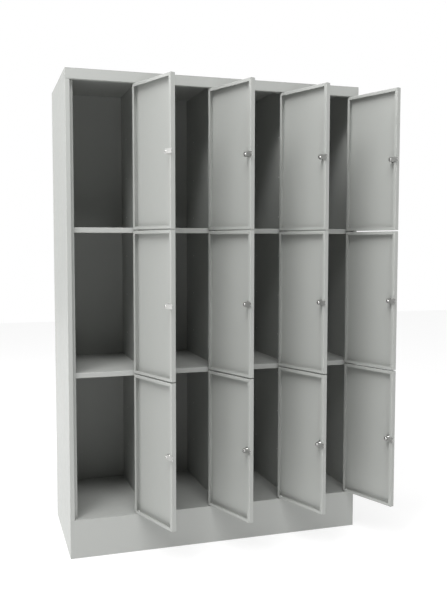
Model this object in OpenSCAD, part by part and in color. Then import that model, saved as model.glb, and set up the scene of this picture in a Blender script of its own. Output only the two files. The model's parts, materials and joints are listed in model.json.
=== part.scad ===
// Steel locker cabinet with twelve compartments: four columns of three doors
// over a closed plinth. Each door is a folded sheet-metal pan that turns on
// pins at its right-hand edge and carries a quarter-turn cam lock.
// X runs to the right, Y to the back, Z up. The origin is at floor level on
// the front plane, at mid-width, on the front edge of the plinth's foot.

/* [Cabinet] */
// Overall width of the carcass
cab_w = 1200; // [1100:10:1400]
// Overall depth of the carcass
cab_d = 500; // [420:10:600]
// Overall height of the carcass
cab_h = 1850; // [1700:10:2000]
// Height of the closed plinth under the compartments
plinth_h = 150; // [100:5:200]
// Height of the head rail over the doors
rail_h = 40; // [30:1:60]
// Thickness of the carcass sheet
sheet_t = 1.2; // [0.8:0.1:1.5]

/* [Front frame] */
// Width of the left end stile
stile_w = 18; // [16:1:24]
// Width of the right end jamb
end_jamb_w = 16; // [14:1:24]
// Width of the post between two columns
post_w = 38; // [34:1:46]
// Width of the door stop flange beside each lock-side stile
stop_w = 12; // [10:1:14]
// Depth of the jamb return on the hinge side
jamb_d = 16; // [10:1:20]
// Depth of the rail and plinth flanges
flange_d = 22; // [18:1:24]
// Height of the shelf front lip
shelf_lip_h = 20; // [16:1:26]
// Distance of the shelf front lip behind the front plane
shelf_back = 25; // [25:1:30]
// Depth of the fold under the shelf front lip
shelf_hem = 12; // [8:1:16]

/* [Doors] */
// Depth of the folded door pan
door_t = 20; // [18:0.5:20]
// Thickness of the door sheet
door_sheet = 1.2; // [0.8:0.1:1.5]
// Width of the inward lip around the back of the pan
lip_w = 12; // [10:1:14]
// Width of the saw cut at each mitred lip corner
mitre_gap = 0.6; // [0.4:0.1:1]
// Gap between two doors, one above the other
gap_v = 4; // [4:0.5:6]
// Gap between a door and the head rail or the floor
gap_end = 2; // [2:0.5:4]
// Gap between a door and the stile on its lock side
gap_lock = 5; // [4:0.5:6]
// Gap between a door and the jamb on its hinge side
gap_hinge = 3; // [3:0.5:4]
// Angle of all doors from closed, as drawn
open_angle = 110.5; // [0:0.5:118]

/* [Hinges] */
// Distance of the pivot from the hinge-side edge of the door
pivot_in = 10; // [9:0.5:11]
// Distance of the pivot behind the door face
pivot_back = 7; // [6.5:0.5:7.5]
// Diameter of the hinge pins
pin_d = 6; // [5:0.5:6]
// Radial play of a pin in its hole
pin_play = 0.05; // [0.02:0.01:0.1]
// Reach of a pin into the door
pin_reach = 8; // [5:1:12]
// Diameter of the collar that carries the door
collar_d = 10; // [9:0.5:10]
// Width of the tab that holds a middle pin
tab_w = 8; // [7:0.5:9]
// Thickness of the tab that holds a middle pin
tab_t = 2; // [1.5:0.1:2]

/* [Locks] */
// Distance of the lock axis from the free edge of the door
lock_in = 26; // [25:1:32]
// Diameter of the round lock head on the door face
lock_head_d = 23; // [21:0.5:24]
// Height of the lock head over the door face
lock_head_h = 2.5; // [2:0.1:3]
// Diameter of the lock barrel
barrel_d = 18; // [17:0.5:18]
// Length of the lock barrel behind the door face
barrel_l = 20; // [19:0.5:20]
// Width across the flats of the lock nut
nut_af = 22; // [21:0.5:23]
// Thickness of the lock nut
nut_t = 4.8; // [4:0.1:6]
// Diameter of the turning plug
plug_d = 12; // [11:0.5:12.5]
// Length of the cam from the lock axis to its tip
cam_l = 38.5; // [36:0.5:38.5]
// Width of the cam plate
cam_w = 18; // [16:0.5:18]
// Thickness of the cam plate
cam_t = 2.5; // [2:0.1:2.5]
// Diameter of the screw head that holds the cam
screw_d = 9; // [8:0.5:9]

/* [Rivets] */
// Diameter of the rivet heads in the partitions
rivet_d = 6; // [4:0.5:8]
// Height of the rivet heads
rivet_h = 1.3; // [0.8:0.1:1.5]
// Distance of the front rivet line from the front plane
rivet_front = 134; // [80:1:200]
// Distance of the rear rivet line from the front plane
rivet_rear = 389; // [300:1:400]
// Height of the lowest rivet over the compartment floor
rivet_first = 173; // [120:1:180]

/* [Hidden] */
$fn = 48;

cols = 4;
rows = 3;
body_col = [0.74, 0.745, 0.735];
door_col = [0.71, 0.717, 0.707];
steel_col = [0.78, 0.78, 0.76];
lock_col = [0.62, 0.62, 0.6];

// Clearance opening between the plinth and the head rail
open_h = cab_h - plinth_h - rail_h;
rail_z = plinth_h + open_h;
door_w = (cab_w - stile_w - end_jamb_w - (cols - 1) * post_w) / cols
  - gap_lock - gap_hinge;
door_h = (open_h - 2 * gap_end - (rows - 1) * gap_v) / rows;
col_pitch = door_w + gap_lock + gap_hinge + post_w;
row_pitch = door_h + gap_v;
// Share of a post that lies left of its partition web
post_left = post_w - stile_w;
stop_y = door_t + 0.5;
pivot_x0 = stile_w + gap_lock + door_w - pivot_in;
rear_y = cab_d - sheet_t;
inner_t = door_t - door_sheet;
pin_r = pin_d / 2;
hole_r = pin_r + pin_play;
rivet_rows = 9;
rivet_pitch = open_h / (rivet_rows + 1);
cam_y = barrel_l + 2.8;
cut = 1;

function door_z(r) = plinth_h + gap_end + (rows - r) * row_pitch;
function level_z(r) = door_z(r) - gap_v / 2;
function pivot_x(c) = pivot_x0 + (c - 1) * col_pitch;
function web_x(i) = i == 0 ? sheet_t / 2
  : i == cols ? cab_w - sheet_t / 2
  : i * col_pitch;

// Moves children from the front left floor corner to the origin
module in_cabinet() {
  translate([-cab_w / 2, 0, 0]) children();
}

// Places children on the pivot of one door, turned with that door
module on_door(r, c) {
  in_cabinet()
    translate([pivot_x(c), pivot_back, door_z(r)])
      rotate([0, 0, open_angle])
        children();
}

// Places children on the lock axis of one door, with +Z to the inside
module on_lock(r, c) {
  on_door(r, c)
    translate([pivot_in - door_w + lock_in, -pivot_back, door_h / 2])
      rotate([-90, 0, 0])
        children();
}

// Stile face, return and stop flange on the lock side of a column
module lock_side_frame() {
  translate([0, 0, plinth_h]) {
    cube([stile_w, sheet_t, open_h]);
    translate([stile_w - sheet_t, 0, 0])
      cube([sheet_t, stop_y + sheet_t, open_h]);
    translate([stile_w - sheet_t, stop_y, 0])
      cube([stop_w + sheet_t, sheet_t, open_h]);
  }
}

// Jamb face and return on the hinge side of a column, w wide, to the left of x = 0
module hinge_side_frame(w) {
  translate([-w, 0, plinth_h]) {
    cube([w, sheet_t, open_h]);
    cube([sheet_t, jamb_d, open_h]);
  }
}

module side_left() {
  color(body_col)
    in_cabinet() {
      cube([sheet_t, cab_d, cab_h]);
      lock_side_frame();
    }
}

module side_right() {
  color(body_col)
    in_cabinet()
      translate([cab_w, 0, 0]) {
        translate([-sheet_t, 0, 0]) cube([sheet_t, cab_d, cab_h]);
        hinge_side_frame(end_jamb_w);
      }
}

// Web with a formed front post; the web passes behind the head rail to the top
module partition(i) {
  web_top = cab_h - sheet_t - plinth_h;
  color(body_col)
    in_cabinet()
      translate([web_x(i), 0, 0]) {
        translate([-sheet_t / 2, 0, plinth_h])
          cube([sheet_t, rear_y, open_h]);
        translate([-sheet_t / 2, flange_d, plinth_h])
          cube([sheet_t, rear_y - flange_d, web_top]);
        lock_side_frame();
        hinge_side_frame(post_left);
      }
}

module back_panel() {
  color(body_col)
    in_cabinet()
      translate([sheet_t, rear_y, 0])
        cube([cab_w - 2 * sheet_t, sheet_t, cab_h - sheet_t]);
}

module top_panel() {
  color(body_col)
    in_cabinet()
      translate([sheet_t, 0, cab_h - sheet_t])
        cube([cab_w - 2 * sheet_t, cab_d, sheet_t]);
}

// Channel over the doors, open to the back, with the upper pin holes
module head_rail() {
  rail_len = cab_w - 2 * sheet_t;
  color(body_col)
    in_cabinet()
      difference() {
        translate([sheet_t, 0, rail_z]) {
          cube([rail_len, sheet_t, rail_h - sheet_t]);
          cube([rail_len, flange_d, sheet_t]);
          translate([0, 0, rail_h - 2 * sheet_t])
            cube([rail_len, flange_d, sheet_t]);
        }
        for (c = [1 : cols])
          translate([pivot_x(c), pivot_back, rail_z - cut])
            cylinder(r = hole_r, h = sheet_t + 2 * cut);
      }
}

module floor_panel() {
  color(body_col)
    in_cabinet()
      difference() {
        translate([sheet_t, 0, plinth_h - sheet_t])
          cube([cab_w - 2 * sheet_t, rear_y, sheet_t]);
        for (c = [1 : cols])
          translate([pivot_x(c), pivot_back, plinth_h - sheet_t - cut])
            cylinder(r = hole_r, h = sheet_t + 2 * cut);
      }
}

module plinth_front() {
  color(body_col)
    in_cabinet()
      translate([sheet_t, 0, 0]) {
        cube([cab_w - 2 * sheet_t, sheet_t, plinth_h - sheet_t]);
        cube([cab_w - 2 * sheet_t, flange_d, sheet_t]);
      }
}

// Shelf under the compartment in row r, with a folded and hemmed front lip
module shelf(r, c) {
  x0 = web_x(c - 1) + sheet_t / 2;
  x1 = web_x(c) - sheet_t / 2;
  top = level_z(r) + shelf_lip_h / 2;
  low = top - shelf_lip_h;
  color(body_col)
    in_cabinet() {
      translate([x0, shelf_back, top - sheet_t])
        cube([x1 - x0, rear_y - shelf_back, sheet_t]);
      translate([x0, shelf_back, low])
        cube([x1 - x0, sheet_t, shelf_lip_h]);
      translate([x0, shelf_back, low])
        cube([x1 - x0, shelf_hem, sheet_t]);
    }
}

// Pin on a tab that reaches forward from a shelf lip, for two doors
module middle_pin() {
  cylinder(r = pin_r, h = gap_v + 2 * pin_reach, center = true);
  cylinder(d = collar_d, h = gap_v - 0.6, center = true);
  cylinder(d = tab_w, h = tab_t, center = true);
  translate([-tab_w / 2, 0, -tab_t / 2])
    cube([tab_w, shelf_back - pivot_back, tab_t]);
}

// Headed pin through a sheet; z = 0 is the sheet face that looks at the door
module end_pin() {
  translate([0, 0, -sheet_t])
    cylinder(r = pin_r, h = sheet_t + gap_end + pin_reach);
  cylinder(d = collar_d, h = gap_end - 0.3);
  translate([0, 0, -sheet_t - 1.5])
    cylinder(d = collar_d, h = 1.5);
}

module hinge_pins() {
  color(steel_col)
    in_cabinet()
      for (c = [1 : cols])
        translate([pivot_x(c), pivot_back, 0]) {
          translate([0, 0, plinth_h]) end_pin();
          translate([0, 0, rail_z]) mirror([0, 0, 1]) end_pin();
          for (r = [1 : rows - 1])
            translate([0, 0, level_z(r)]) middle_pin();
        }
}

module rivet() {
  translate([sheet_t / 2, 0, 0])
    rotate([0, 90, 0])
      cylinder(d1 = rivet_d, d2 = rivet_d * 0.6, h = rivet_h);
}

module rivets() {
  color(steel_col)
    in_cabinet()
      for (i = [1 : cols - 1], y = [rivet_front, rivet_rear], k = [0 : rivet_rows - 1])
        translate([web_x(i), y, plinth_h + rivet_first + k * rivet_pitch]) {
          rivet();
          mirror([1, 0, 0]) rivet();
        }
}

// Saw cut across the lip at one corner of the pan
module mitre_cut() {
  rotate([0, 45, 0])
    translate([door_sheet * 2, 0, -mitre_gap / 2])
      cube([lip_w * 1.5, door_sheet + 2 * cut, mitre_gap]);
}

module door(r, c) {
  lip_gap_w = door_w - 2 * lip_w;
  lip_gap_h = door_h - 2 * lip_w;
  color(door_col)
    on_door(r, c)
      difference() {
        translate([pivot_in - door_w, -pivot_back, 0])
          difference() {
            cube([door_w, door_t, door_h]);
            translate([door_sheet, door_sheet, door_sheet])
              cube([door_w - 2 * door_sheet, inner_t - door_sheet,
                door_h - 2 * door_sheet]);
            translate([lip_w, inner_t - cut, lip_w])
              cube([lip_gap_w, door_sheet + 2 * cut, lip_gap_h]);
            translate([0, inner_t, 0]) {
              translate([0, 0, door_h]) mitre_cut();
              translate([door_w, 0, 0]) mirror([1, 0, 0])
                translate([0, 0, door_h]) mitre_cut();
              mirror([0, 0, 1]) mitre_cut();
              translate([door_w, 0, 0]) mirror([1, 0, 0])
                mirror([0, 0, 1]) mitre_cut();
            }
          }
        translate([0, 0, -cut])
          cylinder(r = hole_r, h = door_h + 2 * cut);
        translate([pivot_in - door_w + lock_in, 0, door_h / 2])
          rotate([90, 0, 0])
            cylinder(d = barrel_d + 0.2, h = pivot_back + cut);
      }
}

// Lock barrel with its round head, and the nut that clamps it in the door
module lock_housing(r, c) {
  color(lock_col)
    on_lock(r, c) {
      difference() {
        union() {
          translate([0, 0, -lock_head_h])
            cylinder(d1 = lock_head_d - 2, d2 = lock_head_d, h = 1);
          translate([0, 0, 1 - lock_head_h])
            cylinder(d = lock_head_d, h = lock_head_h - 1);
          cylinder(d = barrel_d, h = barrel_l);
        }
        translate([0, 0, -lock_head_h - cut])
          cylinder(r = plug_d / 2 + pin_play, h = lock_head_h + barrel_l + 2 * cut);
      }
      translate([0, 0, door_sheet])
        difference() {
          cylinder(d = nut_af / cos(30), h = nut_t, $fn = 6);
          translate([0, 0, -cut])
            cylinder(d = barrel_d + 0.04, h = nut_t + 2 * cut);
        }
    }
}

// Outline of the cam plate, with the notched tongue along -X
module cam_outline() {
  notch_w = 5;
  notch_d = 4;
  difference() {
    union() {
      circle(d = cam_w + 1);
      translate([-cam_l, -cam_w / 2])
        square([cam_l, cam_w]);
    }
    translate([-cam_l - cut, -notch_w / 2])
      square([notch_d + cut, notch_w]);
    for (s = [-1, 1])
      translate([-cam_l, s * cam_w / 2])
        rotate([0, 0, 45])
          square([4, 4], center = true);
  }
}

// Turning plug with its key slot, the cam plate and the cam screw
module cam(r, c) {
  face_z = -lock_head_h - 0.2;
  color(steel_col)
    on_lock(r, c) {
      difference() {
        translate([0, 0, face_z]) cylinder(d = plug_d, h = cam_y - face_z);
        translate([-1, -3.5, face_z - cut]) cube([2, 7, 1.5 + cut]);
      }
      translate([0, 0, barrel_l + 0.2])
        cylinder(d = barrel_d - 2, h = cam_y - barrel_l - 0.2);
      translate([0, 0, cam_y]) linear_extrude(cam_t) cam_outline();
      translate([0, 0, cam_y + cam_t]) cylinder(d = screw_d, h = 2);
      translate([0, 0, cam_y + cam_t + 2])
        cylinder(d1 = screw_d, d2 = screw_d - 2.4, h = 1.2);
    }
}

side_left();
side_right();
partition(1);  // partition_1
partition(2);  // partition_2
partition(3);  // partition_3
back_panel();
top_panel();
head_rail();
floor_panel();
plinth_front();
shelf(1, 1);  // shelf_r1c1
shelf(1, 2);  // shelf_r1c2
shelf(1, 3);  // shelf_r1c3
shelf(1, 4);  // shelf_r1c4
shelf(2, 1);  // shelf_r2c1
shelf(2, 2);  // shelf_r2c2
shelf(2, 3);  // shelf_r2c3
shelf(2, 4);  // shelf_r2c4
hinge_pins();
rivets();
door(1, 1);  // door_r1c1
door(1, 2);  // door_r1c2
door(1, 3);  // door_r1c3
door(1, 4);  // door_r1c4
door(2, 1);  // door_r2c1
door(2, 2);  // door_r2c2
door(2, 3);  // door_r2c3
door(2, 4);  // door_r2c4
door(3, 1);  // door_r3c1
door(3, 2);  // door_r3c2
door(3, 3);  // door_r3c3
door(3, 4);  // door_r3c4
lock_housing(1, 1);  // lock_r1c1
lock_housing(1, 2);  // lock_r1c2
lock_housing(1, 3);  // lock_r1c3
lock_housing(1, 4);  // lock_r1c4
lock_housing(2, 1);  // lock_r2c1
lock_housing(2, 2);  // lock_r2c2
lock_housing(2, 3);  // lock_r2c3
lock_housing(2, 4);  // lock_r2c4
lock_housing(3, 1);  // lock_r3c1
lock_housing(3, 2);  // lock_r3c2
lock_housing(3, 3);  // lock_r3c3
lock_housing(3, 4);  // lock_r3c4
cam(1, 1);  // cam_r1c1
cam(1, 2);  // cam_r1c2
cam(1, 3);  // cam_r1c3
cam(1, 4);  // cam_r1c4
cam(2, 1);  // cam_r2c1
cam(2, 2);  // cam_r2c2
cam(2, 3);  // cam_r2c3
cam(2, 4);  // cam_r2c4
cam(3, 1);  // cam_r3c1
cam(3, 2);  // cam_r3c2
cam(3, 3);  // cam_r3c3
cam(3, 4);  // cam_r3c4
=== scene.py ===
import json
import math

import bmesh
import bpy
from mathutils import Matrix, Vector


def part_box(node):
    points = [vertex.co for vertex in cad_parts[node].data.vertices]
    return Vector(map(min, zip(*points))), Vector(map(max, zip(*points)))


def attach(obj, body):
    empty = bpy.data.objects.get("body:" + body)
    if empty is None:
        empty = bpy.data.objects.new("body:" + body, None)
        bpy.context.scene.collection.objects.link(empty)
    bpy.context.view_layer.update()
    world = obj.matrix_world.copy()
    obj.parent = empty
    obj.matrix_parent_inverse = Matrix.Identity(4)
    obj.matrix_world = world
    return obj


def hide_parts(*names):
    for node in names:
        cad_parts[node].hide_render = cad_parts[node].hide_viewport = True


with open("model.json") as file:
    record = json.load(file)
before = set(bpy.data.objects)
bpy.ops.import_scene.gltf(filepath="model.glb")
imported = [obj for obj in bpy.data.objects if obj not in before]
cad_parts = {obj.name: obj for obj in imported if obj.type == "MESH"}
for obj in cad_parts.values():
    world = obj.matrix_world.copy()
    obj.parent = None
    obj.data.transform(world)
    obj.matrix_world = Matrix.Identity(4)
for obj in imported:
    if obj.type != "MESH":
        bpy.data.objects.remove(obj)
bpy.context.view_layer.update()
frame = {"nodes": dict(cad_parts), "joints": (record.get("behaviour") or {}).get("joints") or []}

MM = 0.001

# -------------------------------------------------------- carcass sizes (m)
SHEET = 1.2 * MM
BEND = 1.0 * MM            # inner radius of a fold in the carcass
CORNER = BEND + SHEET      # outer radius of the same fold
TIGHT_BEND = 0.1 * MM      # the head rail's upper fold
HEM_BEND = 0.5 * MM        # the fold of a shelf's hem
FOLD_STEPS = 5             # facets round one fold
COLS, ROWS = 4, 3
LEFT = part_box("side_left")[0].x
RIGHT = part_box("side_right")[1].x
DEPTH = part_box("side_left")[1].y
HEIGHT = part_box("side_left")[1].z
TOP_IN = HEIGHT - SHEET
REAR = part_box("back_panel")[0].y
FLOOR_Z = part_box("floor_panel")[1].z
RAIL_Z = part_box("head_rail")[0].z
STILE_W = 18 * MM
JAMB_W = 16 * MM           # right-hand end jamb
POST_LEFT = 20 * MM        # share of a post left of its web
JAMB_D = 16 * MM
STOP_Y = 20.5 * MM
STOP_W = 12 * MM
FLANGE_D = 22 * MM
SHELF_HEM = 12 * MM
SHEET_EDGE = 0.35 * MM     # rounding of a folded sheet's cut edges
FLAT_EDGE = 0.5 * MM       # rounding of a flat sheet's edges
PLATE_EDGE = 0.4 * MM      # rounding of the small plates

# ---------------------------------------------------------- door sizes (m)
DOOR_T = 20 * MM
DOOR_BEND = 0.6 * MM
LIP_W = 12 * MM
MITRE_GAP = 1.0 * MM
DOOR_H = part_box("door_r1c1")[1].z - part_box("door_r1c1")[0].z
DOOR_W = 255 * MM
PIVOT_IN = 10 * MM
PIVOT_BACK = 7 * MM
OPEN_ANGLE = math.radians(110.5)
GAP_V = 4 * MM             # between two doors
GAP_END = 2 * MM           # above the top door and below the bottom one

# -------------------------------------------------- pin and rivet sizes (m)
PIN_R = 3 * MM
PIN_REACH = 8 * MM
PIN_HEAD = 1.5 * MM        # how far an end pin passes its sheet
PIN_TIP = 0.7 * MM         # chamfer of a pin's tip
COLLAR_R = 5 * MM
COLLAR_EDGE = 0.4 * MM
COLLAR_PLAY = 0.3 * MM     # from a collar to the door
TAB_W, TAB_T = 8 * MM, 2 * MM
RIVET_R, RIVET_H = 3 * MM, 1.3 * MM
RIVET_LINES = (134 * MM, 389 * MM)
RIVET_FIRST = 173 * MM     # above the bottom panel
RIVET_ROWS = 9

# ---------------------------------------------------------- lock sizes (m)
LOCK_IN = 26 * MM
BARREL_R = 9 * MM
BARREL_L = 20 * MM
HEAD_R = 11.5 * MM
HEAD_H = 2.5 * MM
NUT_R = 11 * MM            # centre to flat
NUT_T = 4.8 * MM
PLUG_R = 6 * MM
PLAY = 0.05 * MM           # round a pin or plug in its hole
NECK_R = 8 * MM
CAM_Z = BARREL_L + 2.8 * MM
CAM_T = 2.5 * MM
CAM_L = 38.5 * MM
CAM_W = 18 * MM
CAM_CHAMFER = 2.8 * MM
NOTCH_HALF = 2.5 * MM
NOTCH_D = 4 * MM
SCREW_R = 4.5 * MM

JOINTS = {j["name"]: j for j in frame["joints"]}


def pivot(row, col):
    """The foot of a door's hinge axis."""
    x, y, _ = JOINTS[f"hinge_r{row}c{col}"]["pos_m"]
    return Vector((x, y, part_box(f"door_r{row}c{col}")[0].z))


def web_x(i):
    """The middle of a partition's web."""
    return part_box(f"partition_{i}")[0].x + POST_LEFT


# ------------------------------------------------------------- mesh helpers
def fold(path, side, radii=BEND):
    """Point pairs, one on each face, along a sheet folded on a 2-D path.

    side is +1 where the metal lies left of the path and -1 where right.
    Each fold gives FOLD_STEPS + 1 pairs, and each end of the path one.
    """
    pts = [Vector(p) for p in path]
    if not isinstance(radii, (list, tuple)):
        radii = [radii] * (len(pts) - 2)

    def inward(d):
        return Vector((-d.y, d.x)) * side

    first = (pts[1] - pts[0]).normalized()
    out = [(pts[0], inward(first))]
    for k in range(1, len(pts) - 1):
        d0 = (pts[k] - pts[k - 1]).normalized()
        d1 = (pts[k + 1] - pts[k]).normalized()
        turn = math.copysign(1, d0.x * d1.y - d0.y * d1.x)
        angle = math.acos(max(-1, min(1, d0.dot(d1))))
        radius = radii[k - 1] + (SHEET if turn == side else 0)
        start = pts[k] - d0 * radius * math.tan(angle / 2)
        to_centre = Vector((-d0.y, d0.x)) * turn
        centre = start + to_centre * radius
        for j in range(FOLD_STEPS + 1):
            rot = Matrix.Rotation(turn * angle * j / FOLD_STEPS, 2)
            out.append((centre + rot @ (-to_centre * radius), rot @ inward(d0)))
    last = (pts[-1] - pts[-2]).normalized()
    out.append((pts[-1], inward(last)))
    return [(p, p + n * SHEET) for p, n in out]


def sheet(bm, pairs, stations, put, keep=lambda i, j: True):
    """Adds the folded sheet, swept through stations; keep(i, j) picks cells."""
    made = {}

    def vert(i, j, face):
        key = (i, j, face)
        if key not in made:
            made[key] = bm.verts.new(put(pairs[i][face], stations[j]))
        return made[key]

    cells = [
        (i, j)
        for i in range(len(pairs) - 1)
        for j in range(len(stations) - 1)
        if keep(i, j)
    ]
    there = set(cells)
    for i, j in cells:
        ring = [(i, j), (i + 1, j), (i + 1, j + 1), (i, j + 1)]
        for face in (0, 1):
            bm.faces.new([vert(*k, face) for k in ring])
        beyond = [(i, j - 1), (i + 1, j), (i, j + 1), (i - 1, j)]
        for k, other in enumerate(beyond):
            if other not in there:
                a, b = ring[k], ring[(k + 1) % 4]
                bm.faces.new([vert(*a, 0), vert(*b, 0), vert(*b, 1), vert(*a, 1)])


def plan(p, z):
    """Puts a 2-D point in the XY plane, at height z."""
    return Vector((p[0], p[1], z))


def section(p, x):
    """Puts a 2-D point in the YZ plane, at x."""
    return Vector((x, p[0], p[1]))


def lathe(bm, profile, segments=40, closed=False, move=Matrix.Identity(4)):
    """Turns (radius, z) points about Z. A radius may be a function of angle."""
    rings = []
    for radius, z in profile:
        if radius == 0:
            rings.append([bm.verts.new(move @ Vector((0, 0, z)))] * segments)
            continue
        ring = []
        for k in range(segments):
            a = 2 * math.pi * k / segments
            r = radius(a) if callable(radius) else radius
            ring.append(bm.verts.new(move @ Vector((r * math.cos(a), r * math.sin(a), z))))
        rings.append(ring)
    links = list(zip(rings, rings[1:]))
    if closed:
        links.append((rings[-1], rings[0]))
    for low, high in links:
        for k in range(segments):
            n = (k + 1) % segments
            corners = []
            for v in (low[k], low[n], high[n], high[k]):
                if v not in corners:
                    corners.append(v)
            if len(corners) > 2:
                bm.faces.new(corners)


def arc(radius, start, end, steps):
    """Points on a circle about the origin, from start to end degrees."""
    angles = [math.radians(start + (end - start) * k / steps) for k in range(steps + 1)]
    return [(radius * math.cos(a), radius * math.sin(a)) for a in angles]


def dome(radius, low, high, flat, step, count):
    """(radius, z) points that rise from the rim at low towards a flat top."""
    angles = [math.radians(step * k) for k in range(count)]
    return [(flat + (radius - flat) * math.cos(a), low + (high - low) * math.sin(a))
            for a in angles]


def soften(bm, width, angle=50, segments=2):
    """Rounds every edge that is sharper than angle."""
    bmesh.ops.recalc_face_normals(bm, faces=bm.faces)
    limit = math.radians(angle)
    edges = [e for e in bm.edges if len(e.link_faces) == 2 and e.calc_face_angle(0) > limit]
    bmesh.ops.bevel(
        bm, geom=edges, offset=width, segments=segments, profile=0.5,
        affect="EDGES", clamp_overlap=True,
    )


def mesh_of(bm, name):
    """The mesh data of a bmesh, which is freed."""
    mesh = bpy.data.meshes.new(name)
    bm.to_mesh(mesh)
    bm.free()
    return mesh


def solid(bm, name):
    """The mesh data of a closed bmesh, with its normals facing out."""
    bmesh.ops.recalc_face_normals(bm, faces=bm.faces)
    return mesh_of(bm, name)


def add_mesh(bm, mesh):
    """Adds mesh data to a bmesh and removes the data."""
    bm.from_mesh(mesh)
    bpy.data.meshes.remove(mesh)


def finished(bm, name, smooth_angle=35):
    """Mesh data shaded smooth, with edges sharper than smooth_angle kept sharp."""
    bmesh.ops.recalc_face_normals(bm, faces=bm.faces)
    limit = math.radians(smooth_angle)
    for e in bm.edges:
        e.smooth = len(e.link_faces) == 2 and e.calc_face_angle(0) < limit
    for f in bm.faces:
        f.smooth = True
    return mesh_of(bm, name)


def merged(meshes, name, smooth_angle):
    """One finished mesh from several closed parts."""
    bm = bmesh.new()
    for mesh in meshes:
        add_mesh(bm, mesh)
    return finished(bm, name, smooth_angle)


def cut(mesh, tools):
    """Takes closed bmesh tools out of mesh and returns the result."""
    scene = bpy.context.scene
    body = bpy.data.objects.new("cut_body", mesh)
    scene.collection.objects.link(body)
    made = []
    for bm in tools:
        tool = bpy.data.objects.new("cut_tool", solid(bm, "cut_tool"))
        scene.collection.objects.link(tool)
        made.append(tool)
        mod = body.modifiers.new("cut", "BOOLEAN")
        mod.operation = "DIFFERENCE"
        mod.solver = "EXACT"
        mod.object = tool
    graph = bpy.context.evaluated_depsgraph_get()
    result = bpy.data.meshes.new_from_object(body.evaluated_get(graph))
    for o in [body, *made]:
        data = o.data
        bpy.data.objects.remove(o)
        bpy.data.meshes.remove(data)
    return result


def cuboid(lo, hi):
    bm = bmesh.new()
    bmesh.ops.create_cube(bm, size=1)
    lo, hi = Vector(lo), Vector(hi)
    for v in bm.verts:
        v.co = Vector([(a + b) / 2 + c * (b - a) for a, b, c in zip(lo, hi, v.co)])
    return bm


def rod(radius, z0, z1, move=Matrix.Identity(4)):
    bm = bmesh.new()
    lathe(bm, [(0, z0), (radius, z0), (radius, z1), (0, z1)], move=move)
    return bm


def piece(name, mesh, material, body, nodes, place=Matrix.Identity(4)):
    """A finished piece: its mesh in place, riding its body, for its nodes."""
    obj = bpy.data.objects.new(name, mesh)
    bpy.context.scene.collection.objects.link(obj)
    if not mesh.materials:
        mesh.materials.append(material)
    mod = obj.modifiers.new("face_weights", "WEIGHTED_NORMAL")
    mod.keep_sharp = True
    obj.matrix_world = place
    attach(obj, body)
    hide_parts(*nodes)
    return obj


# ---------------------------------------------------------------- materials
class Nodes:
    """A node material with a Principled shader, made a line at a time.

    Texture scales are per metre.
    """

    def __init__(self, name):
        self.material = bpy.data.materials.new(name)
        self.material.use_nodes = True
        self.tree = self.material.node_tree
        self.shader = self.tree.nodes["Principled BSDF"]
        coords = self.tree.nodes.new("ShaderNodeTexCoord")
        self.coords = coords.outputs["Object"]

    def link(self, a, b):
        self.tree.links.new(a, b)

    def noise(self, scale, detail=3, roughness=0.5, stretch=None):
        node = self.tree.nodes.new("ShaderNodeTexNoise")
        node.inputs["Scale"].default_value = scale
        node.inputs["Detail"].default_value = detail
        node.inputs["Roughness"].default_value = roughness
        source = self.coords
        if stretch:
            mapping = self.tree.nodes.new("ShaderNodeMapping")
            mapping.inputs["Scale"].default_value = stretch
            self.link(source, mapping.inputs["Vector"])
            source = mapping.outputs["Vector"]
        self.link(source, node.inputs["Vector"])
        return node.outputs["Fac"]

    def cells(self, scale):
        node = self.tree.nodes.new("ShaderNodeTexVoronoi")
        node.inputs["Scale"].default_value = scale
        self.link(self.coords, node.inputs["Vector"])
        split = self.tree.nodes.new("ShaderNodeSeparateColor")
        self.link(node.outputs["Color"], split.inputs["Color"])
        return split.outputs["Red"]

    def ramp(self, fac, low, high, start=0.3, end=0.7):
        node = self.tree.nodes.new("ShaderNodeValToRGB")
        node.color_ramp.elements[0].position = start
        node.color_ramp.elements[1].position = end
        node.color_ramp.elements[0].color = (*low, 1)
        node.color_ramp.elements[1].color = (*high, 1)
        self.link(fac, node.inputs["Fac"])
        return node.outputs["Color"]

    def span(self, fac, low, high, start=0.3, end=0.7):
        node = self.tree.nodes.new("ShaderNodeMapRange")
        values = {"From Min": start, "From Max": end, "To Min": low, "To Max": high}
        for key, value in values.items():
            node.inputs[key].default_value = value
        self.link(fac, node.inputs["Value"])
        return node.outputs["Result"]

    def multiply(self, a, b):
        node = self.tree.nodes.new("ShaderNodeMix")
        node.data_type = "RGBA"
        node.blend_type = "MULTIPLY"
        node.inputs["Factor"].default_value = 1.0
        self.link(a, node.inputs["A"])
        self.link(b, node.inputs["B"])
        return node.outputs["Result"]

    def bump(self, heights):
        """heights: (fac, distance in m, strength), stacked in order."""
        last = None
        for fac, distance, strength in heights:
            node = self.tree.nodes.new("ShaderNodeBump")
            node.inputs["Distance"].default_value = distance
            node.inputs["Strength"].default_value = strength
            self.link(fac, node.inputs["Height"])
            if last:
                self.link(last, node.inputs["Normal"])
            last = node.outputs["Normal"]
        self.link(last, self.shader.inputs["Normal"])


def powder_coat(name, tone):
    """Satin powder coat: orange peel, faint mottle and a few duller patches."""
    n = Nodes(name)
    low = [c * 0.985 for c in tone]
    high = [min(1, c * 1.012) for c in tone]
    broad = n.ramp(n.noise(2.6, 2), low, high)
    grain = n.ramp(n.noise(520, 2), (0.965,) * 3, (1.0,) * 3)
    n.link(n.multiply(broad, grain), n.shader.inputs["Base Color"])
    n.link(n.span(n.noise(38, 4), 0.40, 0.52), n.shader.inputs["Roughness"])
    n.shader.inputs["Specular IOR Level"].default_value = 0.42
    n.bump([
        (n.noise(7, 1), 0.0006, 0.10),
        (n.noise(620, 2, 0.55), 0.00003, 0.30),
    ])
    return n.material


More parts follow.
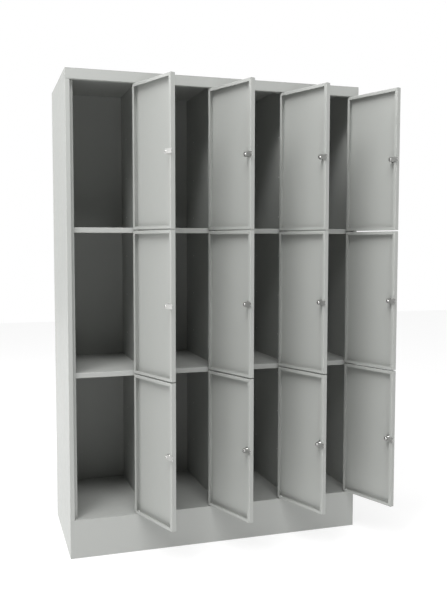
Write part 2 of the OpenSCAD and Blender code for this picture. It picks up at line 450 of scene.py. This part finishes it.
def nickel(name, tone, rough):
    """Bright plating with fine tumbling marks and a slight haze."""
    n = Nodes(name)
    low = [c * 0.86 for c in tone]
    n.link(n.ramp(n.noise(240, 4), low, tone), n.shader.inputs["Base Color"])
    n.shader.inputs["Metallic"].default_value = 1.0
    marks = n.noise(900, 5, 0.7, (1, 0.12, 1))
    n.link(n.span(marks, rough * 0.7, rough * 1.5), n.shader.inputs["Roughness"])
    n.bump([(marks, 0.00002, 0.25)])
    return n.material


def zinc(name, low, high, metallic):
    """A bright plain metal with a soft crystalline spangle."""
    n = Nodes(name)
    n.link(n.ramp(n.cells(420), low, high, 0.1, 0.9), n.shader.inputs["Base Color"])
    n.shader.inputs["Metallic"].default_value = metallic
    n.link(n.span(n.noise(600, 3), 0.26, 0.42), n.shader.inputs["Roughness"])
    n.bump([(n.noise(800, 3), 0.00002, 0.3)])
    return n.material


BODY = powder_coat("coat_body", (0.446, 0.456, 0.439))
DOOR = powder_coat("coat_door", (0.438, 0.449, 0.430))
LOCK = nickel("plate_lock", (0.60, 0.595, 0.575), 0.24)
CAM = nickel("plate_cam", (0.64, 0.64, 0.625), 0.44)
SCREW = nickel("plate_screw", (0.86, 0.86, 0.845), 0.13)
ZINC = zinc("plate_zinc", (0.60, 0.60, 0.585), (0.80, 0.80, 0.785), 1.0)
RIVET = zinc("rivet_alloy", (0.78, 0.78, 0.77), (0.95, 0.95, 0.94), 0.3)


# ------------------------------------------------------------------ carcass
def carcass_piece(name, bm, node, edge=SHEET_EDGE, segments=2):
    """A painted sheet of the cabinet, with its cut edges rounded."""
    soften(bm, edge, segments=segments)
    piece(name, finished(bm, name), BODY, "cabinet", [node])


def side(name, edge, inward, folds):
    """A full-height side sheet whose front is folded between plinth and rail."""
    path = [(edge, DEPTH), (edge, 0)] + [(edge + inward * x, y) for x, y in folds]
    # the side and its front corner run full height, the rest beside the doors
    corner_end = FOLD_STEPS + 1
    bm = bmesh.new()
    sheet(bm, fold(path, inward), [0, FLOOR_Z, RAIL_Z, HEIGHT], plan,
          lambda i, j: j == 1 or i < corner_end)
    carcass_piece(name + "_panel", bm, name)


side("side_left", LEFT, 1,
     [(STILE_W, 0), (STILE_W, STOP_Y), (STILE_W + STOP_W, STOP_Y)])
side("side_right", RIGHT, -1, [(JAMB_W, 0), (JAMB_W, JAMB_D)])


def partition(i):
    """An upright web, cut back above the doors, with a folded front post."""
    x = web_x(i)
    half = SHEET / 2
    web = [
        (Vector((x - half, y)), Vector((x + half, y)))
        for y in (SHEET, FLANGE_D, REAR)
    ]
    bm = bmesh.new()
    sheet(bm, web, [FLOOR_Z, RAIL_Z, TOP_IN], plan, lambda a, b: b == 0 or a == 1)
    post = fold(
        [(x - POST_LEFT, JAMB_D), (x - POST_LEFT, 0), (x + STILE_W, 0),
         (x + STILE_W, STOP_Y), (x + STILE_W + STOP_W, STOP_Y)], 1)
    sheet(bm, post, [FLOOR_Z, RAIL_Z], plan)
    carcass_piece(f"partition_{i}_post", bm, f"partition_{i}")


for i in range(1, COLS):
    partition(i)


def swept(name, path, radii, x0, x1, node):
    """A sheet folded in side section that runs from x0 to x1."""
    bm = bmesh.new()
    sheet(bm, fold(path, -1, radii), [x0, x1], section)
    carcass_piece(name, bm, node)


swept("head_rail_channel",
      [(FLANGE_D, RAIL_Z), (0, RAIL_Z), (0, TOP_IN), (FLANGE_D, TOP_IN)],
      [BEND, TIGHT_BEND], LEFT + CORNER, RIGHT - CORNER, "head_rail")
swept("plinth_front_panel",
      [(FLANGE_D, 0), (0, 0), (0, FLOOR_Z - SHEET)],
      [BEND], LEFT + CORNER, RIGHT - CORNER, "plinth_front")


def flat(name, y0, y1, top, node):
    """A flat sheet between the two sides, with rounded edges."""
    pairs = [(Vector((y, top)), Vector((y, top - SHEET))) for y in (y0, y1)]
    bm = bmesh.new()
    sheet(bm, pairs, [LEFT + SHEET, RIGHT - SHEET], section)
    carcass_piece(name, bm, node, FLAT_EDGE, segments=3)


flat("top_sheet", 0, DEPTH, HEIGHT, "top_panel")
flat("floor_sheet", 0, REAR, FLOOR_Z, "floor_panel")


def shelf(row, col):
    """A flat tray with a front lip that is hemmed back underneath."""
    node = f"shelf_r{row}c{col}"
    lo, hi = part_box(node)
    swept(node + "_tray",
          [(lo.y + SHELF_HEM, lo.z), (lo.y, lo.z), (lo.y, hi.z), (hi.y, hi.z)],
          [HEM_BEND, BEND], lo.x, hi.x, node)


for row in range(1, ROWS):
    for col in range(1, COLS + 1):
        shelf(row, col)

for slot in frame["nodes"]["back_panel"].material_slots:
    slot.material = BODY


# ------------------------------------------------------------ pins and rivets
def pin_profile(z0, z1, collar):
    """(radius, z) of a chamfered pin from z0 to z1 with a rounded collar."""
    c0, c1 = collar
    return [
        (0, z0), (PIN_R - PIN_TIP, z0), (PIN_R, z0 + PIN_TIP), (PIN_R, c0),
        (COLLAR_R - COLLAR_EDGE, c0), (COLLAR_R, c0 + COLLAR_EDGE),
        (COLLAR_R, c1 - COLLAR_EDGE), (COLLAR_R - COLLAR_EDGE, c1),
        (PIN_R, c1), (PIN_R, z1 - PIN_TIP), (PIN_R - PIN_TIP, z1), (0, z1),
    ]


def hinge_pins():
    """End pins in the bottom panel and rail, and tabbed pins between doors."""
    bm = bmesh.new()
    shelf_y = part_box("shelf_r1c1")[0].y
    for col in range(1, COLS + 1):
        base = pivot(ROWS, col)
        for z, sign in ((FLOOR_Z, 1), (RAIL_Z, -1)):
            turn = Matrix.Translation((base.x, base.y, z))
            if sign < 0:
                turn = turn @ Matrix.Rotation(math.pi, 4, "X")
            lathe(bm, pin_profile(-SHEET - PIN_HEAD, GAP_END + PIN_REACH,
                                  (0, GAP_END - COLLAR_PLAY)), 32, move=turn)
        for row in range(1, ROWS):
            z = pivot(row, col).z - GAP_V / 2
            centre = Matrix.Translation((base.x, base.y, z))
            reach, half = GAP_V / 2 + PIN_REACH, GAP_V / 2 - COLLAR_PLAY
            lathe(bm, pin_profile(-reach, reach, (-half, half)), 32, move=centre)
            tab = cuboid((base.x - TAB_W / 2, base.y, z - TAB_T / 2),
                         (base.x + TAB_W / 2, shelf_y, z + TAB_T / 2))
            soften(tab, PLATE_EDGE)
            add_mesh(bm, mesh_of(tab, "tab"))
    piece("hinge_pin_set", finished(bm, "hinge_pin_set"), ZINC,
          "cabinet", ["hinge_pins"])


def rivets():
    """Domed heads on both sides of each partition, in two upright lines."""
    bm = bmesh.new()
    profile = [(0, 0), *dome(RIVET_R, 0, RIVET_H, 0, step=15, count=6), (0, RIVET_H)]
    pitch = (RAIL_Z - FLOOR_Z) / (RIVET_ROWS + 1)
    for i in range(1, COLS):
        for y in RIVET_LINES:
            for k in range(RIVET_ROWS):
                for way in (1, -1):
                    place = Matrix.Translation(
                        (web_x(i) + way * SHEET / 2, y, FLOOR_Z + RIVET_FIRST + k * pitch))
                    lathe(bm, profile, 16,
                          move=place @ Matrix.Rotation(way * math.pi / 2, 4, "Y"))
    piece("rivet_set", finished(bm, "rivet_set", 60), RIVET,
          "cabinet", ["rivets"])


hinge_pins()
rivets()


# -------------------------------------------------------------------- doors
def pan():
    """One door: a folded pan with lips mitred at the corners, and its holes."""
    path = [(LIP_W, 0), (0, 0), (0, DOOR_T), (LIP_W, DOOR_T)]
    pairs = fold(path, -1, DOOR_BEND)
    split = FOLD_STEPS + 2     # the last pair that still lies on the side wall
    gap = MITRE_GAP / 2
    x0, x1 = PIVOT_IN - DOOR_W, PIVOT_IN
    corners = [Vector((x0, 0)), Vector((x1, 0)), Vector((x1, DOOR_H)), Vector((x0, DOOR_H))]
    along = [(corners[(k + 1) % 4] - corners[k]).normalized() for k in range(4)]
    inward = [Vector((-d.y, d.x)) for d in along]
    bm = bmesh.new()
    made = {}

    def vert(side_no, i, face, end):
        corner = (side_no + end) % 4
        shared = i <= split
        key = (corner, i, face) if shared else (corner, i, face, side_no)
        if key not in made:
            u, v = pairs[i][face]
            run = u + (0 if shared else gap)
            p = corners[corner] + inward[side_no] * u
            p += along[side_no] * (run if end == 0 else -run)
            made[key] = bm.verts.new((p.x, v - PIVOT_BACK, p.y))
        return made[key]

    last = len(pairs) - 1
    for k in range(4):
        for i in range(last):
            for face in (0, 1):
                bm.faces.new([vert(k, i, face, 0), vert(k, i + 1, face, 0),
                              vert(k, i + 1, face, 1), vert(k, i, face, 1)])
            if i >= split:
                for end in (0, 1):
                    bm.faces.new([vert(k, i, 0, end), vert(k, i + 1, 0, end),
                                  vert(k, i + 1, 1, end), vert(k, i, 1, end)])
        bm.faces.new([vert(k, last, 0, 0), vert(k, last, 0, 1),
                      vert(k, last, 1, 1), vert(k, last, 1, 0)])
    for face in (0, 1):
        bm.faces.new([vert(k, 0, face, 0) for k in range(4)])
    blank = solid(bm, "pan")

    at_lock = Matrix.Translation((x0 + LOCK_IN, 0, DOOR_H / 2))
    through_wall = at_lock @ Matrix.Rotation(math.pi / 2, 4, "X")
    lock_reach, pin_reach = 10 * MM, 3 * MM
    pin_hole = PIN_R + PLAY
    drilled = cut(blank, [
        rod(BARREL_R + 2 * PLAY, -lock_reach, lock_reach, through_wall),
        rod(pin_hole, -pin_reach, pin_reach),
        rod(pin_hole, DOOR_H - pin_reach, DOOR_H + pin_reach),
    ])
    bm = bmesh.new()
    add_mesh(bm, drilled)
    return finished(bm, "door_pan")


# -------------------------------------------------------------------- locks
def barrel():
    """Threaded barrel with a round head, bored for the plug."""
    bore = PLUG_R + PLAY
    lead, bevel = 0.4 * MM, 0.25 * MM
    profile = [(bore, -HEAD_H + 0.3 * MM), (bore + lead, -HEAD_H)]
    # the head's shoulder: mm in from its rim, and mm behind its face
    shoulder = [(2.2, 0), (1.0, 0.25), (0.25, 0.9), (0, 1.5)]
    profile += [(HEAD_R - x * MM, -HEAD_H + z * MM) for x, z in shoulder]
    profile += [(HEAD_R, -bevel), (HEAD_R - bevel, 0), (BARREL_R, 0)]

    pitch, thread_depth, plain_end = 1.0 * MM, 0.45 * MM, 1.4 * MM
    z = SHEET + lead
    while z < BARREL_L - plain_end:
        profile += [(BARREL_R, z), (BARREL_R - thread_depth, z + pitch / 2)]
        z += pitch
    profile += [(BARREL_R - 0.3 * MM, BARREL_L - 0.7 * MM),
                (BARREL_R - 0.9 * MM, BARREL_L), (bore, BARREL_L)]
    bm = bmesh.new()
    lathe(bm, profile, 48, closed=True)
    return solid(bm, "barrel")


def nut():
    """Hex nut with its corners turned off at both faces."""
    turned_r = NUT_R * 1.03

    def hexagon(a):
        return NUT_R / math.cos((a % (math.pi / 3)) - math.pi / 6)

    def chamfered(a):
        return min(hexagon(a), turned_r)

    bore = BARREL_R + 0.02 * MM
    low, high = SHEET, SHEET + NUT_T
    lead, bore_edge = 0.9 * MM, 0.5 * MM
    bm = bmesh.new()
    lathe(bm, [(bore, low), (chamfered, low), (hexagon, low + lead),
               (hexagon, high - lead), (chamfered, high),
               (bore + bore_edge, high), (bore, high - bore_edge)],
          48, closed=True)
    return solid(bm, "nut")


def plug():
    """The plug that the key turns, with its key slot."""
    face_z = -HEAD_H - 0.2 * MM
    edge = (0.5 * MM, 0.4 * MM)
    slot_x, slot_y, slot_deep = 1 * MM, 3.5 * MM, 1.5 * MM
    bm = bmesh.new()
    lathe(bm, [(0, face_z), (PLUG_R - edge[0], face_z), (PLUG_R, face_z + edge[1]),
               (PLUG_R, CAM_Z), (0, CAM_Z)])
    key_slot = cuboid((-slot_x, -slot_y, face_z - MM), (slot_x, slot_y, face_z + slot_deep))
    return cut(solid(bm, "plug"), [key_slot])


def neck():
    """The round shoulder between the barrel and the cam plate."""
    low, edge = BARREL_L + 0.2 * MM, 0.4 * MM
    bm = bmesh.new()
    lathe(bm, [(0, low), (NECK_R - edge, low), (NECK_R, low + edge),
               (NECK_R, CAM_Z), (0, CAM_Z)])
    return solid(bm, "neck")


def cam_plate():
    """Flat plate round the plug, with a notched tongue along -X."""
    half, tip, inner = CAM_W / 2, -CAM_L, -CAM_L + NOTCH_D
    boss = half + 0.5 * MM
    meet = math.degrees(math.asin(half / boss))
    soft = 0.8 * MM            # corners at the bottom of the notch
    mouth_x, mouth_y = 0.5 * MM, 0.6 * MM
    upper = [
        (tip + CAM_CHAMFER, half),
        (tip + CAM_CHAMFER * 0.35, half - CAM_CHAMFER * 0.25),
        (tip, half - CAM_CHAMFER),
        (tip, NOTCH_HALF + mouth_y),
        (tip + mouth_x, NOTCH_HALF),
        (inner - soft, NOTCH_HALF),
        (inner, NOTCH_HALF - soft),
    ]
    outline = arc(boss, -180 + meet, 180 - meet, 40)
    outline += upper + [(x, -y) for x, y in reversed(upper)]
    bm = bmesh.new()
    low = [bm.verts.new((x, y, CAM_Z)) for x, y in outline]
    high = [bm.verts.new((x, y, CAM_Z + CAM_T)) for x, y in outline]
    bm.faces.new(low)
    bm.faces.new(high)
    n = len(outline)
    for k in range(n):
        bm.faces.new([low[k], low[(k + 1) % n], high[(k + 1) % n], high[k]])
    soften(bm, PLATE_EDGE, angle=70)
    return mesh_of(bm, "cam_plate")


def cam_screw(base):
    """Domed screw head on the plate's face at base, with a cross recess."""
    foot, rim, top = base - 0.2 * MM, base + 1.0 * MM, base + 3.2 * MM
    crown = dome(SCREW_R, rim, top, 1.2 * MM, step=10, count=10)
    arm, thick = 2.6 * MM, 0.5 * MM
    low, high = base + 1.6 * MM, base + 5 * MM
    bm = bmesh.new()
    lathe(bm, [(0, foot), (SCREW_R, foot), *crown, (0, top)], 36)
    return cut(solid(bm, "screw"), [
        cuboid((-arm, -thick, low), (arm, thick, high)),
        cuboid((-thick, -arm, low), (thick, arm, high)),
    ])


def cam_mesh():
    """Plug, neck, cam plate and screw, which turn as one."""
    top = CAM_Z + CAM_T
    mesh = merged([plug(), neck(), cam_plate(), cam_screw(top)], "cam_set", 40)
    mesh.materials.append(CAM)
    mesh.materials.append(SCREW)
    for face in mesh.polygons:
        face.material_index = int(face.center.z > top + 0.05 * MM)
    return mesh


PAN, CATCH = pan(), cam_mesh()
HOUSING = merged([barrel(), nut()], "lock_housing", 32)
for row in range(1, ROWS + 1):
    for col in range(1, COLS + 1):
        key = f"r{row}c{col}"
        at_door = Matrix.Translation(pivot(row, col)) @ Matrix.Rotation(OPEN_ANGLE, 4, "Z")
        at_lock = (
            at_door
            @ Matrix.Translation((PIVOT_IN - DOOR_W + LOCK_IN, -PIVOT_BACK, DOOR_H / 2))
            @ Matrix.Rotation(-math.pi / 2, 4, "X")
        )
        piece("door_pan_" + key, PAN, DOOR, "leaf_" + key,
              ["door_" + key], at_door)
        piece("lock_housing_" + key, HOUSING, LOCK, "leaf_" + key,
              ["lock_" + key], at_lock)
        piece("lock_cam_" + key, CATCH, CAM, "catch_" + key,
              ["cam_" + key], at_lock)


# ----------------------------------------------------- stage, light, camera
FLOOR_SIZE = 9.0
FLOOR_DROP = 0.4 * MM      # keeps the floor clear of the plinth's foot
FLOOR_TONE = 0.32
FLOOR_GLOW = 0.74
LENS = 44.72               # mm
SHIFT = (0.0265, -0.0068)
CAMERA_AT = (-0.91304, -2.80837, 1.20193)
CAMERA_TURN = (86.064, 0, -17.034)   # degrees
VIEW_REACH = 60            # m


def stage_floor():
    """Pale paper with a light of its own, strong enough to read white."""
    bm = bmesh.new()
    bmesh.ops.create_grid(bm, x_segments=6, y_segments=6, size=FLOOR_SIZE)
    mesh = mesh_of(bm, "studio_floor")
    obj = bpy.data.objects.new("studio_floor", mesh)
    bpy.context.scene.collection.objects.link(obj)
    obj.location = (0, 0, -FLOOR_DROP)
    n = Nodes("floor_paper")
    n.link(n.ramp(n.noise(1.5, 3), (FLOOR_TONE * 0.97,) * 3, (FLOOR_TONE,) * 3),
           n.shader.inputs["Base Color"])
    n.shader.inputs["Roughness"].default_value = 0.9
    n.bump([(n.noise(300, 2), 0.0002, 0.05)])
    n.shader.inputs["Emission Color"].default_value = (1, 1, 1, 1)
    n.shader.inputs["Emission Strength"].default_value = FLOOR_GLOW
    mesh.materials.append(n.material)


def area_light(name, place, target, size, watts):
    """A soft box at place that faces target."""
    data = bpy.data.lights.new(name, "AREA")
    data.shape = "RECTANGLE"
    data.size, data.size_y = size
    data.energy = watts
    obj = bpy.data.objects.new(name, data)
    bpy.context.scene.collection.objects.link(obj)
    obj.location = place
    direction = Vector(target) - Vector(place)
    obj.rotation_euler = direction.to_track_quat("-Z", "Y").to_euler()


def sky(sides, overhead):
    """Soft light from both sides and from overhead, with a dark room in front.

    The camera itself sees plain white behind the object.
    """
    world = bpy.data.worlds.new("studio")
    bpy.context.scene.world = world
    world.use_nodes = True
    tree = world.node_tree
    tree.nodes.clear()
    link = tree.links.new

    def maths(kind, a, b):
        node = tree.nodes.new("ShaderNodeMath")
        node.operation = kind
        for socket, value in zip(node.inputs, (a, b)):
            if isinstance(value, (int, float)):
                socket.default_value = value
            else:
                link(value, socket)
        return node.outputs[0]

    coords = tree.nodes.new("ShaderNodeTexCoord")
    split = tree.nodes.new("ShaderNodeSeparateXYZ")
    link(coords.outputs["Generated"], split.inputs["Vector"])
    ceiling = tree.nodes.new("ShaderNodeMapRange")
    ceiling.interpolation_type = "SMOOTHSTEP"
    ceiling.inputs["From Min"].default_value = 0.5
    ceiling.inputs["From Max"].default_value = 0.85
    ceiling.inputs["To Max"].default_value = overhead
    link(split.outputs["Z"], ceiling.inputs["Value"])
    walls = maths("MULTIPLY", maths("POWER", split.outputs["X"], 4.0), sides)
    total = maths("ADD", walls, ceiling.outputs["Result"])

    soft = tree.nodes.new("ShaderNodeBackground")
    plain = tree.nodes.new("ShaderNodeBackground")
    for node in (soft, plain):
        node.inputs["Color"].default_value = (1, 1, 1, 1)
    link(total, soft.inputs["Strength"])
    path = tree.nodes.new("ShaderNodeLightPath")
    mix = tree.nodes.new("ShaderNodeMixShader")
    out = tree.nodes.new("ShaderNodeOutputWorld")
    link(path.outputs["Is Camera Ray"], mix.inputs["Fac"])
    link(soft.outputs["Background"], mix.inputs[1])
    link(plain.outputs["Background"], mix.inputs[2])
    link(mix.outputs["Shader"], out.inputs["Surface"])


def camera():
    data = bpy.data.cameras.new("studio_camera")
    data.sensor_fit = "AUTO"
    data.lens = LENS
    data.shift_x, data.shift_y = SHIFT
    data.clip_end = VIEW_REACH
    obj = bpy.data.objects.new("studio_camera", data)
    bpy.context.scene.collection.objects.link(obj)
    obj.location = CAMERA_AT
    obj.rotation_euler = [math.radians(a) for a in CAMERA_TURN]
    bpy.context.scene.camera = obj


stage_floor()
sky(sides=1.3, overhead=0.75)
area_light("side_box", place=(-3.6, 2.6, 2.0), target=(-0.6, 0.25, 1.1),
           size=(2.4, 3.6), watts=96)
area_light("front_box", place=(-1.0, -2.6, 5.4), target=(0, 0, 0.7),
           size=(3.6, 1.6), watts=175)
area_light("key_box", place=(-3.2, -2.6, 5.0), target=(0, 0, 0.8),
           size=(2.4, 1.8), watts=112)
camera()
bpy.context.scene.view_settings.view_transform = "Standard"
